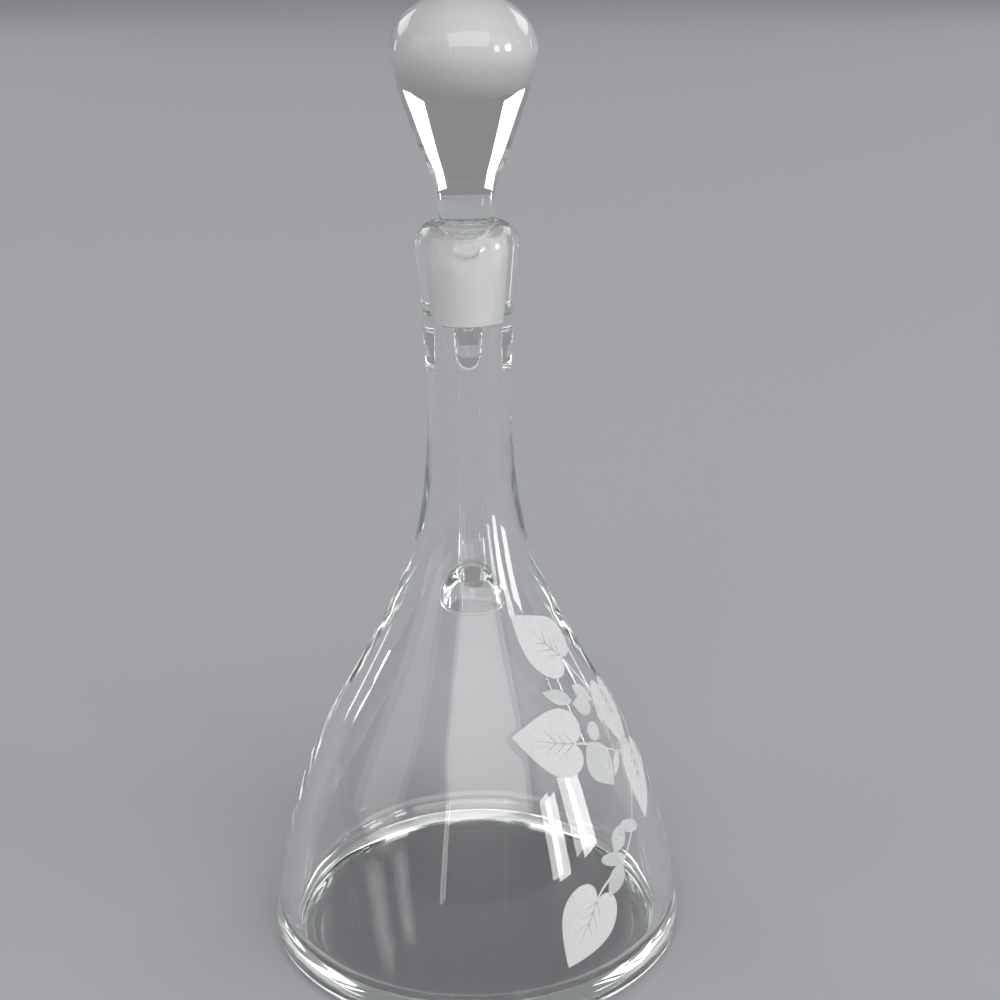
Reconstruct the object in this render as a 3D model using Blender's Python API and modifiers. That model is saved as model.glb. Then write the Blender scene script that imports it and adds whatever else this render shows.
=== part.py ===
"""Glass decanter with an applied handle and a ground stopper, in metres with +Z up.

The decanter stands on its flat foot at the origin. The pouring lip points along -Y and the handle
stands behind the neck, along +Y. Three pieces are modelled: the blown vessel, the handle that was
drawn from hot glass and pressed on to the vessel, and the loose stopper.
"""
import math

import bmesh
import bpy
from mathutils import Vector

# Body of the vessel, outer side
BASE_RADIUS = 0.0723
HEEL_ROUNDING = 0.0030
WAIST_HEIGHT = 0.196
WAIST_RADIUS = 0.0138
# Height shares run from the table up to the waist, width shares from the waist out to the base
BODY_SHARES = (
    (0.05, 0.984),
    (0.10, 0.958),
    (0.20, 0.886),
    (0.30, 0.777),
    (0.40, 0.631),
    (0.50, 0.443),
    (0.60, 0.265),
    (0.70, 0.127),
    (0.80, 0.044),
    (0.90, 0.008),
    (1.00, 0.000),
)

# Underside: a flat disc to stand on, and a bottom that rises slightly from it out to the heel
FOOT_RADIUS = 0.0520
FOOT_RISE = 0.0008

# Neck above the waist and the rounded rim
NECK_LENGTH = 0.0540
RIM_RADIUS = 0.0164
RIM_CROWN_RADIUS = 0.0109
RIM_ROUNDING_HEIGHT = 0.0070
# Height shares run from the waist up to the rim's rounding, width shares out to the rim
NECK_SHARES = (
    (0.30, 0.15),
    (0.52, 0.35),
    (0.74, 0.68),
    (0.91, 0.92),
    (1.00, 1.00),
)

# Inside of the vessel
BODY_WALL = 0.0075
BORE_RADIUS = 0.0072
# Share of the spread from waist to base over which the wall changes from the neck's to the body's
WALL_BLEND_SHARE = 0.33
FLOOR_THICKNESS = 0.0035
FLOOR_CORNER_WIDTH = 0.0100
FLOOR_CORNER_HEIGHT = 0.0080

# Ground socket in the mouth, and the mouth's short flare above it
MOUTH_DEPTH = 0.0057
MOUTH_RADIUS = 0.0096
MOUTH_CHAMFER = 0.0006
SOCKET_LENGTH = 0.0260
SOCKET_TOP_RADIUS = 0.0090
SOCKET_BOTTOM_RADIUS = 0.0075

# Pouring lip, drawn forward and down at the front of the rim
LIP_REACH = 0.0038
LIP_DROP = 0.0024
LIP_HEIGHT = 0.0150
LIP_FLAT_HALF_WIDTH = 0.0025
LIP_HALF_WIDTH = 0.0098

# Stopper, measured from the rim
KNOB_RISE = 0.0700
KNOB_RADIUS = 0.0229
KNOB_DOME_HEIGHT = 0.0175
KNOB_FOOT_RISE = 0.0048
STOPPER_NECK_RADIUS = 0.0088
STOPPER_RING_RADIUS = 0.0092
STOPPER_RING_HEIGHT = 0.0022
STOPPER_RING_DEPTH = 0.0026
PLUG_CORNER = 0.0015
GROUND_GAP = 0.0003
# Air space blown into the knob, and the fine vent down the plug that opens it
HOLLOW_ROOF = 0.0050
HOLLOW_SIDE_WALL = 0.0044
HOLLOW_DEPTH = 0.0130
VENT_RADIUS = 0.0010
# Height shares run from the neck up to the knob's widest ring, width shares out to that ring
KNOB_SHARES = (
    (0.10, 0.03),
    (0.20, 0.14),
    (0.36, 0.36),
    (0.56, 0.61),
    (0.75, 0.82),
    (0.90, 0.94),
)

# Handle: a round pad on the shoulder, a flattened rod, and a tongue pressed down the neck's back
PAD_HEIGHT_SHARE = 0.588
PAD_HALF_WIDTH = 0.0160
PAD_HALF_HEIGHT = 0.0145
PAD_THICKNESS = 0.0060
PAD_SINK = 0.0040
ROOT_HALF_WIDTH = 0.0106
ROOT_HALF_THICKNESS = 0.0082
ROOT_LENGTH = 0.0018
ROD_HALF_WIDTH = 0.0094
ROD_HALF_THICKNESS = 0.0050
HANDLE_BOW = 0.0115
LOOP_RISE = 0.0250
TONGUE_RISE = 0.0120
TONGUE_HALF_WIDTH = 0.0080
TONGUE_THICKNESS = 0.0034
TONGUE_STAND = 0.0006
SEAT_GAP = 0.0003
# Places along the rod: reach share from the neck's waist out to the bow, height share from the
# pad up to the top of the loop, swelling share from the rod's section to its root's, and the
# share in which the section is bent round the neck
HANDLE_SHARES = (
    (0.948, 0.072, 0.72, 0.00),
    (0.993, 0.123, 0.46, 0.00),
    (0.993, 0.187, 0.26, 0.00),
    (0.948, 0.300, 0.12, 0.00),
    (0.865, 0.442, 0.04, 0.00),
    (0.761, 0.612, 0.00, 0.00),
    (0.651, 0.754, 0.00, 0.00),
    (0.526, 0.863, 0.00, 0.00),
    (0.367, 0.943, 0.00, 0.08),
    (0.208, 0.973, 0.02, 0.35),
    (0.090, 0.953, 0.02, 0.75),
)

TURNED_STEPS = 56
STOPPER_STEPS = 36
CURVE_SAMPLES = 2
ARC_SAMPLES = 5
ROD_SIDES = 28
ROD_SAMPLES = 3
TIP_ANGLE = 84
MERGE_DISTANCE = 0.00002


def clear_scene():
    """Remove every object, so that the decanter stands alone."""
    for item in list(bpy.data.objects):
        bpy.data.objects.remove(item, do_unlink=True)


def new_collection(name):
    """Make a collection in the scene and return it."""
    collection = bpy.data.collections.new(name)
    bpy.context.scene.collection.children.link(collection)
    return collection


def glass_material(name, colour, roughness):
    """Make a glass material from its tint and its roughness."""
    material = bpy.data.materials.new(name)
    material.use_nodes = True
    shader = material.node_tree.nodes["Principled BSDF"]
    shader.inputs["Base Color"].default_value = (*colour, 1.0)
    shader.inputs["Roughness"].default_value = roughness
    shader.inputs["Metallic"].default_value = 0.0
    shader.inputs["Transmission Weight"].default_value = 1.0
    shader.inputs["IOR"].default_value = 1.5
    return material


def smooth_line(points, samples):
    """Return points along a smooth curve that passes through the given points."""
    result = []
    last = len(points) - 1
    for index in range(last):
        before = points[max(index - 1, 0)]
        start = points[index]
        end = points[index + 1]
        after = points[min(index + 2, last)]
        for step in range(samples):
            along = step / samples
            result.append(tuple(
                0.5 * (
                    2 * b
                    + (c - a) * along
                    + (2 * a - 5 * b + 4 * c - d) * along ** 2
                    + (3 * b - a - 3 * c + d) * along ** 3
                )
                for a, b, c, d in zip(before, start, end, after)
            ))
    result.append(tuple(points[last]))
    return result


def arc(centre, radii, start_angle, end_angle, samples):
    """Return points along an upright elliptical arc, angles in degrees from the +X side."""
    points = []
    for step in range(samples + 1):
        angle = math.radians(start_angle + (end_angle - start_angle) * step / samples)
        points.append((
            centre[0] + radii[0] * math.cos(angle),
            centre[1] + radii[1] * math.sin(angle),
        ))
    return points


def offset_line(points, distance_at):
    """Move an outline inward along its own normals, by a distance that depends on the place."""
    moved = []
    last = len(points) - 1
    for index, point in enumerate(points):
        ahead = points[min(index + 1, last)]
        behind = points[max(index - 1, 0)]
        run = Vector((ahead[0] - behind[0], ahead[1] - behind[1])).normalized()
        inward = Vector((run.y, -run.x))
        if inward.x > 0:
            inward = -inward
        distance = distance_at(point)
        moved.append((point[0] + inward.x * distance, point[1] + inward.y * distance))
    return moved


def rim_level():
    """Return the height of the rim's crown above the table."""
    return WAIST_HEIGHT + NECK_LENGTH


def socket_top():
    """Return the height of the ground socket's upper end."""
    return rim_level() - MOUTH_DEPTH


def pad_height():
    """Return the height of the middle of the handle's pad."""
    return WAIST_HEIGHT * PAD_HEIGHT_SHARE


def body_side():
    """Return the outer side of the body and the neck, from the heel up to the rim's rounding."""
    spread = BASE_RADIUS - WAIST_RADIUS
    stations = [(BASE_RADIUS, FOOT_RISE + HEEL_ROUNDING)]
    for height_share, width_share in BODY_SHARES:
        stations.append((WAIST_RADIUS + spread * width_share, WAIST_HEIGHT * height_share))
    rounding_foot = rim_level() - RIM_ROUNDING_HEIGHT
    for height_share, width_share in NECK_SHARES:
        stations.append((
            WAIST_RADIUS + (RIM_RADIUS - WAIST_RADIUS) * width_share,
            WAIST_HEIGHT + (rounding_foot - WAIST_HEIGHT) * height_share,
        ))
    return smooth_line(stations, CURVE_SAMPLES)


def radius_on(line, height):
    """Return the radius of an outline at a height."""
    for lower, upper in zip(line, line[1:]):
        if lower[1] <= height <= upper[1]:
            along = (height - lower[1]) / (upper[1] - lower[1])
            return lower[0] + (upper[0] - lower[0]) * along
    return line[-1][0]


def side_radius(height):
    """Return the radius of the vessel's outer side at a height."""
    return radius_on(body_side(), height)


def side_normal(height):
    """Return the outward normal of the vessel's back at a height, in the plane X = 0."""
    step = HEEL_ROUNDING
    slope = (side_radius(height + step) - side_radius(height - step)) / (2 * step)
    return Vector((0, 1, -slope)).normalized()


def wall_at(point):
    """Return the wall's thickness at a point of the outer side: the neck's above, the body's below."""
    neck_wall = WAIST_RADIUS - BORE_RADIUS
    spread = (BASE_RADIUS - WAIST_RADIUS) * WALL_BLEND_SHARE
    share = min(max((point[0] - WAIST_RADIUS) / spread, 0), 1)
    return neck_wall + (BODY_WALL - neck_wall) * share


def outer_outline():
    """Return the outer outline from the rim's crown down to the middle of the foot."""
    rim = arc(
        (RIM_CROWN_RADIUS, rim_level() - RIM_ROUNDING_HEIGHT),
        (RIM_RADIUS - RIM_CROWN_RADIUS, RIM_ROUNDING_HEIGHT),
        90, 0, ARC_SAMPLES,
    )
    side = list(reversed(body_side()))
    heel = arc(
        (BASE_RADIUS - HEEL_ROUNDING, FOOT_RISE + HEEL_ROUNDING),
        (HEEL_ROUNDING, HEEL_ROUNDING),
        0, -90, ARC_SAMPLES,
    )
    return rim + side[1:] + heel[1:] + [(FOOT_RADIUS, 0), (0, 0)]


def inner_outline():
    """Return the inner outline from the middle of the floor up to the rim's crown."""
    socket_bottom = socket_top() - SOCKET_LENGTH
    wall = [point for point in body_side() if point[1] < WAIST_HEIGHT]
    wall = offset_line(wall, wall_at)
    corner_top = FLOOR_THICKNESS + FLOOR_CORNER_HEIGHT
    corner_radius = radius_on(wall, corner_top)
    wall = [point for point in wall if corner_top < point[1] < WAIST_HEIGHT]
    corner = arc(
        (corner_radius - FLOOR_CORNER_WIDTH, corner_top),
        (FLOOR_CORNER_WIDTH, FLOOR_CORNER_HEIGHT),
        -90, 0, ARC_SAMPLES,
    )
    mouth_foot = socket_top() + MOUTH_CHAMFER
    mouth = arc(
        (RIM_CROWN_RADIUS, mouth_foot),
        (RIM_CROWN_RADIUS - MOUTH_RADIUS, rim_level() - mouth_foot),
        180, 90, ARC_SAMPLES,
    )
    neck = [
        (BORE_RADIUS, WAIST_HEIGHT),
        (BORE_RADIUS, socket_bottom - (SOCKET_BOTTOM_RADIUS - BORE_RADIUS)),
        (SOCKET_BOTTOM_RADIUS, socket_bottom),
        (SOCKET_TOP_RADIUS, socket_top()),
    ]
    return [(0, FLOOR_THICKNESS)] + corner + wall + neck + mouth


def turned_object(name, outline, steps, collection):
    """Turn an outline about the Z axis with a Screw modifier and return the object."""
    mesh = bpy.data.meshes.new(name)
    edges = [(index, index + 1) for index in range(len(outline) - 1)]
    mesh.from_pydata([(radius, 0, height) for radius, height in outline], edges, [])
    item = bpy.data.objects.new(name, mesh)
    collection.objects.link(item)
    screw = item.modifiers.new("turn", "SCREW")
    screw.axis = "Z"
    screw.angle = math.radians(360)
    screw.steps = steps
    screw.render_steps = steps
    screw.use_merge_vertices = True
    screw.merge_threshold = MERGE_DISTANCE
    screw.use_smooth_shade = True
    return item


def as_mesh_object(item, name, collection):
    """Replace an object by a mesh object with its modifiers applied and its seams welded."""
    graph = bpy.context.evaluated_depsgraph_get()
    mesh = bpy.data.meshes.new_from_object(item.evaluated_get(graph))
    place = item.matrix_world.copy()
    bpy.data.objects.remove(item, do_unlink=True)
    solid = bpy.data.objects.new(name, mesh)
    solid.matrix_world = place
    collection.objects.link(solid)
    work = bmesh.new()
    work.from_mesh(mesh)
    bmesh.ops.remove_doubles(work, verts=work.verts, dist=MERGE_DISTANCE)
    bmesh.ops.recalc_face_normals(work, faces=work.faces)
    work.to_mesh(mesh)
    work.free()
    return solid


def ease(value):
    """Return a soft step from 0 to 1."""
    value = min(max(value, 0), 1)
    return value * value * (3 - 2 * value)


def pull_lip(vessel):
    """Draw the front of the rim forward and down into the pouring lip."""
    for vertex in vessel.data.vertices:
        place = vertex.co
        inside = math.hypot(place.x, place.y) < RIM_CROWN_RADIUS
        root = socket_top() + MOUTH_CHAMFER if inside else rim_level() - LIP_HEIGHT
        if place.y >= 0 or place.z <= root:
            continue
        up = ease((place.z - root) / (rim_level() - root))
        across = (LIP_HALF_WIDTH - abs(place.x)) / (LIP_HALF_WIDTH - LIP_FLAT_HALF_WIDTH)
        weight = up * ease(across)
        place.y -= LIP_REACH * weight
        place.z -= LIP_DROP * weight


def make_vessel(parts, material):
    """Make the blown vessel, with its foot, bell body, neck, ground socket and pouring lip."""
    outline = inner_outline()[:-1] + outer_outline()
    turned = turned_object("vessel", outline, TURNED_STEPS, parts)
    vessel = as_mesh_object(turned, "vessel", parts)
    pull_lip(vessel)
    vessel.data.materials.append(material)
    return vessel


def knob_side():
    """Return the stopper's side from its neck up to the knob's widest ring."""
    low = rim_level() + KNOB_FOOT_RISE
    high = rim_level() + KNOB_RISE - KNOB_DOME_HEIGHT
    stations = [(STOPPER_NECK_RADIUS, low)]
    for height_share, width_share in KNOB_SHARES:
        stations.append((
            STOPPER_NECK_RADIUS + (KNOB_RADIUS - STOPPER_NECK_RADIUS) * width_share,
            low + (high - low) * height_share,
        ))
    stations.append((KNOB_RADIUS, high))
    return smooth_line(stations, CURVE_SAMPLES)


def hollow_outline():
    """Return the air space in the knob, from the vent's upper end to the middle of its roof."""
    stopper_top = rim_level() + KNOB_RISE
    middle = (0, stopper_top - KNOB_DOME_HEIGHT)
    width = KNOB_RADIUS - HOLLOW_SIDE_WALL
    floor = arc(middle, (width, HOLLOW_DEPTH), -90, 0, ARC_SAMPLES)
    floor[0] = (VENT_RADIUS, floor[0][1])
    roof = arc(middle, (width, KNOB_DOME_HEIGHT - HOLLOW_ROOF), 0, 90, ARC_SAMPLES)
    roof[-1] = (0, stopper_top - HOLLOW_ROOF)
    return floor + roof[1:]


def make_stopper(parts, material):
    """Make the stopper: a hollow pear-shaped knob, a short neck with a ring, and a ground plug."""
    plug_bottom = socket_top() - SOCKET_LENGTH
    plug_top_radius = SOCKET_TOP_RADIUS - GROUND_GAP
    plug_bottom_radius = SOCKET_BOTTOM_RADIUS - GROUND_GAP
    stopper_top = rim_level() + KNOB_RISE
    dome = arc(
        (0, stopper_top - KNOB_DOME_HEIGHT),
        (KNOB_RADIUS, KNOB_DOME_HEIGHT),
        90, 0, 2 * ARC_SAMPLES,
    )
    dome[0] = (0, stopper_top)
    side = list(reversed(knob_side()))
    ring = arc(
        (STOPPER_NECK_RADIUS, rim_level() - STOPPER_RING_DEPTH),
        (STOPPER_RING_RADIUS - STOPPER_NECK_RADIUS, STOPPER_RING_HEIGHT / 2),
        90, -90, ARC_SAMPLES,
    )
    corner = arc(
        (plug_bottom_radius - PLUG_CORNER, plug_bottom + PLUG_CORNER),
        (PLUG_CORNER, PLUG_CORNER),
        0, -90, ARC_SAMPLES,
    )
    outline = dome + side[1:] + ring
    outline += [(plug_top_radius, socket_top())]
    outline += corner
    outline += [(VENT_RADIUS, plug_bottom)]
    outline += hollow_outline()
    stopper = turned_object("stopper", outline, STOPPER_STEPS, parts)
    stopper.data.materials.append(material)
    return stopper


def pad_sections():
    """Return the pad's sections, from inside the vessel's wall out to the root of the rod."""
    shoulder = side_radius(pad_height())
    seat = Vector((0, shoulder, pad_height()))
    outward = side_normal(pad_height())
    sections = [(seat - outward * PAD_SINK, PAD_HALF_WIDTH, PAD_HALF_HEIGHT, shoulder, 1)]
    for step in range(ARC_SAMPLES + 1):
        angle = math.radians(TIP_ANGLE * step / ARC_SAMPLES)
        spread = math.cos(angle)
        sections.append((
            seat + outward * PAD_THICKNESS * math.sin(angle),
            ROOT_HALF_WIDTH + (PAD_HALF_WIDTH - ROOT_HALF_WIDTH) * spread,
            ROOT_HALF_THICKNESS + (PAD_HALF_HEIGHT - ROOT_HALF_THICKNESS) * spread,
            shoulder,
            spread,
        ))
    return sections


def rod_sections():
    """Return the rod's sections, from its root on the pad to the full width of the tongue."""
    seat = Vector((0, side_radius(pad_height()), pad_height()))
    root = seat + side_normal(pad_height()) * (PAD_THICKNESS + ROOT_LENGTH)
    stations = [(root.y, root.z, ROOT_HALF_WIDTH, ROOT_HALF_THICKNESS, 0)]
    bow = side_radius(pad_height()) + HANDLE_BOW
    loop_top = WAIST_HEIGHT + LOOP_RISE
    for reach_share, height_share, swelling_share, bend_share in HANDLE_SHARES:
        stations.append((
            WAIST_RADIUS + (bow - WAIST_RADIUS) * reach_share,
            pad_height() + (loop_top - pad_height()) * height_share,
            ROD_HALF_WIDTH + (ROOT_HALF_WIDTH - ROD_HALF_WIDTH) * swelling_share,
            ROD_HALF_THICKNESS + (ROOT_HALF_THICKNESS - ROD_HALF_THICKNESS) * swelling_share,
            bend_share,
        ))
    tongue_level = WAIST_HEIGHT + TONGUE_RISE
    stations.append((
        side_radius(tongue_level) + TONGUE_STAND,
        tongue_level,
        TONGUE_HALF_WIDTH,
        TONGUE_THICKNESS,
        1,
    ))
    line = smooth_line(stations, ROD_SAMPLES)
    neck = side_radius(tongue_level)
    return [
        (Vector((0, reach, height)), wide, thick, neck, bend)
        for reach, height, wide, thick, bend in line
    ]


def tip_sections():
    """Return the sections that round off the tongue's end, down the back of the neck."""
    sections = []
    for step in range(1, ARC_SAMPLES + 1):
        angle = math.radians(TIP_ANGLE * step / ARC_SAMPLES)
        height = WAIST_HEIGHT + TONGUE_RISE - TONGUE_HALF_WIDTH * math.sin(angle)
        sections.append((
            Vector((0, side_radius(height) + TONGUE_STAND * math.cos(angle), height)),
            TONGUE_HALF_WIDTH * math.cos(angle),
            TONGUE_THICKNESS * math.cos(angle),
            side_radius(height),
            1,
        ))
    return sections


def handle_solid(parts):
    """Draw the handle through its sections, each one bent round the vessel where it lies on it."""
    sections = pad_sections() + rod_sections() + tip_sections()
    places = []
    last = len(sections) - 1
    for index, (middle, wide, thick, round_radius, bend) in enumerate(sections):
        along = sections[min(index + 1, last)][0] - sections[max(index - 1, 0)][0]
        across = Vector((0, -along.z, along.y)).normalized()
        for side in range(ROD_SIDES):
            angle = math.radians(360 * side / ROD_SIDES)
            place = middle + across * thick * math.sin(angle)
            place.x = wide * math.cos(angle)
            hollow = math.sqrt(max(round_radius ** 2 - place.x ** 2, 0))
            place.y -= (round_radius - hollow) * bend
            places.append(place)
    faces = [tuple(reversed(range(ROD_SIDES)))]
    for index in range(last):
        for side in range(ROD_SIDES):
            start = index * ROD_SIDES + side
            beside = index * ROD_SIDES + (side + 1) % ROD_SIDES
            faces.append((start, beside, beside + ROD_SIDES, start + ROD_SIDES))
    faces.append(tuple(range(last * ROD_SIDES, (last + 1) * ROD_SIDES)))
    mesh = bpy.data.meshes.new("handle")
    mesh.from_pydata(places, [], faces)
    item = bpy.data.objects.new("handle", mesh)
    parts.objects.link(item)
    work = bmesh.new()
    work.from_mesh(mesh)
    bmesh.ops.recalc_face_normals(work, faces=work.faces)
    work.to_mesh(mesh)
    work.free()
    return item


def combine(target, tool, operation):
    """Add an exact Boolean modifier to the target."""
    modifier = target.modifiers.new(tool.name, "BOOLEAN")
    modifier.operation = operation
    modifier.solver = "EXACT"
    modifier.object = tool
    return modifier


def seat_cutter(cutters):
    """Make a solid of the vessel's outer side grown by the seat's gap, to cut the handle with."""
    side = offset_line(body_side(), lambda point: -SEAT_GAP)
    outline = [(0, side[-1][1])] + list(reversed(side)) + [(0, side[0][1])]
    cutter = turned_object("handle_seat", outline, TURNED_STEPS, cutters)
    cutter.display_type = "WIRE"
    cutter.hide_render = True
    return cutter


def make_handle(parts, cutters, material):
    """Make the handle: pad, rod and tongue in one piece, seated on the vessel."""
    handle = handle_solid(parts)
    combine(handle, seat_cutter(cutters), "DIFFERENCE")
    handle.data.materials.append(material)
    for polygon in handle.data.polygons:
        polygon.use_smooth = True
    return handle


def main():
    """Build the decanter."""
    clear_scene()
    parts = new_collection("decanter")
    cutters = new_collection("cutters")
    clear_glass = glass_material("clear_glass", (0.93, 0.96, 0.93), 0.02)
    handle_glass = glass_material("handle_glass", (0.93, 0.96, 0.93), 0.02)
    stopper_glass = glass_material("stopper_glass", (0.95, 0.96, 0.95), 0.03)
    make_vessel(parts, clear_glass)
    make_handle(parts, cutters, handle_glass)
    make_stopper(parts, stopper_glass)


main()
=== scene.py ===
"""Looks of a clear glass decanter with an applied handle, a ground stopper and an etched ivy vine.

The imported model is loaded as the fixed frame. The vessel and its handle become one fused piece of
glass, the stopper gets its hollow knob and its ground plug, and the vine lies on the body's front
right side. All lengths are in metres, +Z is up and the pouring lip points along -Y.
"""

import logging
import math
from collections.abc import Callable, Mapping, Sequence
from dataclasses import dataclass, field
from enum import Enum

import bpy
from mathutils import Matrix, Vector


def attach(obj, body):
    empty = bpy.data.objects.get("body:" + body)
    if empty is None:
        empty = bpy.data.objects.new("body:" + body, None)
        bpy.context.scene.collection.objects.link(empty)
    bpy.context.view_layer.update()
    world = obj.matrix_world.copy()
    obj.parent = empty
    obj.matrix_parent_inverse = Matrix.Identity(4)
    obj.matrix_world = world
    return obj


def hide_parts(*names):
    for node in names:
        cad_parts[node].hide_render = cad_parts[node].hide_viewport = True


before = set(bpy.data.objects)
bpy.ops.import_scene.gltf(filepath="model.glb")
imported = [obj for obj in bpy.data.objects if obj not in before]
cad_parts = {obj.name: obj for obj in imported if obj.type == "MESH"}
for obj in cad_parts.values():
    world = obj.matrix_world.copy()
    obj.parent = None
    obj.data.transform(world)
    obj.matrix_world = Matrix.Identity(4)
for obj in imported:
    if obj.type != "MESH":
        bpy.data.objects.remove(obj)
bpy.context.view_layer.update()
log = logging.getLogger("decanter")

Point = tuple[float, float]
Line = list[Point]
Colour = tuple[float, float, float]
Triple = tuple[float, float, float]
MERGE_DISTANCE = 0.00001
# Degrees between two faces past which their edge is shaded sharp
GLASS_SMOOTH_ANGLE = 32
FILM_SMOOTH_ANGLE = 40
# Numbers of a Mix node's colour sockets
MIX_FIRST, MIX_SECOND, MIX_RESULT = 6, 7, 2


# Lines

def smooth_line(points: Sequence[tuple], samples: int) -> list[tuple]:
    """Draw a smooth curve through points.

    Args:
        points: Places or stations of any number of values each.
        samples: Steps between two neighbouring points.

    Returns:
        The points of the curve, the last given point included.
    """
    result = []
    last = len(points) - 1
    for index in range(last):
        before = points[max(index - 1, 0)]
        start, end = points[index], points[index + 1]
        after = points[min(index + 2, last)]
        for step in range(samples):
            along = step / samples
            result.append(tuple(
                0.5 * (
                    2 * b
                    + (c - a) * along
                    + (2 * a - 5 * b + 4 * c - d) * along ** 2
                    + (3 * b - a - 3 * c + d) * along ** 3
                )
                for a, b, c, d in zip(before, start, end, after)
            ))
    result.append(tuple(points[last]))
    return result


def arc(centre: Point, radii: Point, start: float, end: float, samples: int) -> Line:
    """Draw an upright elliptical arc.

    Args:
        centre: Middle of the ellipse.
        radii: Its half width and half height.
        start: First angle in degrees, from the +X side.
        end: Last angle in degrees.
        samples: Steps along the arc.

    Returns:
        The arc's points, both ends included.
    """
    angles = [math.radians(start + (end - start) * step / samples) for step in range(samples + 1)]
    return [
        (centre[0] + radii[0] * math.cos(angle), centre[1] + radii[1] * math.sin(angle))
        for angle in angles
    ]


def filled_in(line: Line, spacing: float) -> Line:
    """Add points to a line so that no two neighbours lie further apart than the spacing.

    Args:
        line: The line's points, all of which are kept.
        spacing: The greatest distance between neighbours.

    Returns:
        The line with its added points.
    """
    result = [line[0]]
    for start, end in zip(line, line[1:]):
        count = max(1, math.ceil(math.dist(start, end) / spacing))
        for step in range(1, count + 1):
            share = step / count
            result.append((
                start[0] + (end[0] - start[0]) * share,
                start[1] + (end[1] - start[1]) * share,
            ))
    return result


def neighbours(points: Sequence) -> list[tuple]:
    """Put each point between the one before it and the one after it.

    Args:
        points: The points in order.

    Returns:
        The point before, the point and the point after, where an end stands in for what it lacks.
    """
    last = len(points) - 1
    return [
        (points[max(index - 1, 0)], point, points[min(index + 1, last)])
        for index, point in enumerate(points)
    ]


def moved_inward(line: Line, distance_at: Callable[[Point], float]) -> Line:
    """Move a turned piece's outline towards its axis, along the outline's own normals.

    Args:
        line: The outline as radius and height.
        distance_at: Gives the distance at a point of the outline.

    Returns:
        The moved outline.
    """
    moved = []
    for behind, point, ahead in neighbours(line):
        run = Vector((ahead[0] - behind[0], ahead[1] - behind[1])).normalized()
        inward = Vector((run.y, -run.x))
        if inward.x > 0:
            inward = -inward
        distance = distance_at(point)
        moved.append((point[0] + inward.x * distance, point[1] + inward.y * distance))
    return moved


def radius_on(line: Line, height: float) -> float:
    """Read an outline's radius at a height.

    Args:
        line: The outline as radius and height, from below upwards.
        height: The height to read at.

    Returns:
        The radius there, or the nearest end's.
    """
    for lower, upper in zip(line, line[1:]):
        if lower[1] <= height <= upper[1]:
            along = (height - lower[1]) / (upper[1] - lower[1])
            return lower[0] + (upper[0] - lower[0]) * along
    return line[-1][0] if height > line[-1][1] else line[0][0]


def between(first: Point, last: Point, shares: Sequence[Point]) -> Line:
    """Place points between two others.

    Args:
        first: The radius and height from which the shares count.
        last: The radius and height at which they are 1.
        shares: For each point, its share of the height and its share of the radius.

    Returns:
        The points as radius and height.
    """
    return [
        (first[0] + (last[0] - first[0]) * wide, first[1] + (last[1] - first[1]) * high)
        for high, wide in shares
    ]


def ease(value: float) -> float:
    """Return a soft step from 0 to 1."""
    value = min(max(value, 0), 1)
    return value * value * (3 - 2 * value)


# Modelling

def named(item: bpy.types.Object, name: str) -> bpy.types.Object:
    """Give an object and its mesh one name."""
    item.name = item.data.name = name
    return item


def into_edit_mode() -> None:
    """Open the active piece for editing with all of it selected."""
    bpy.ops.object.mode_set(mode="EDIT")
    bpy.ops.mesh.select_all(action="SELECT")


def closed_and_outward() -> None:
    """Merge the open piece's doubles, turn its faces outwards and leave edit mode."""
    bpy.ops.mesh.select_all(action="SELECT")
    bpy.ops.mesh.remove_doubles(threshold=MERGE_DISTANCE)
    bpy.ops.mesh.normals_make_consistent(inside=False)
    bpy.ops.object.mode_set(mode="OBJECT")


def turned_over() -> None:
    """Turn all faces of the active piece the other way."""
    into_edit_mode()
    bpy.ops.mesh.flip_normals()
    bpy.ops.object.mode_set(mode="OBJECT")


def alone(item: bpy.types.Object) -> None:
    """Select one piece and nothing else, and make it active.

    Args:
        item: The piece.
    """
    bpy.ops.object.select_all(action="DESELECT")
    item.select_set(True)
    bpy.context.view_layer.objects.active = item


def started(name: str, primitive: Callable, **settings: object) -> bpy.types.Object:
    """Add a primitive with nothing else selected, and open it for editing.

    Args:
        name: The new piece's name.
        primitive: The operator that adds it.
        settings: The operator's settings by name.

    Returns:
        The piece, all of it selected.
    """
    bpy.ops.object.select_all(action="DESELECT")
    primitive(**settings)
    item = named(bpy.context.object, name)
    into_edit_mode()
    return item


def turned_skin(name: str, outline: Line, steps: int) -> bpy.types.Object:
    """Turn an outline about the Z axis, as on a glassmaker's bench.

    Args:
        name: The new piece's name.
        outline: Radius and height of each point, from the axis or round back to the start.
        steps: Flats round the axis.

    Returns:
        The closed piece, its faces outward.
    """
    item = started(name, bpy.ops.mesh.primitive_plane_add, size=MERGE_DISTANCE)
    bpy.ops.mesh.merge(type="CENTER")
    bpy.ops.transform.translate(value=(outline[0][0], 0, outline[0][1]))
    for start, end in zip(outline, outline[1:]):
        step = (end[0] - start[0], 0, end[1] - start[1])
        bpy.ops.mesh.extrude_vertices_move(TRANSFORM_OT_translate={"value": step})
    bpy.ops.mesh.select_all(action="SELECT")
    bpy.ops.mesh.spin(steps=steps, angle=math.tau, center=(0, 0, 0), axis=(0, 0, 1))
    closed_and_outward()
    return item


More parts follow.
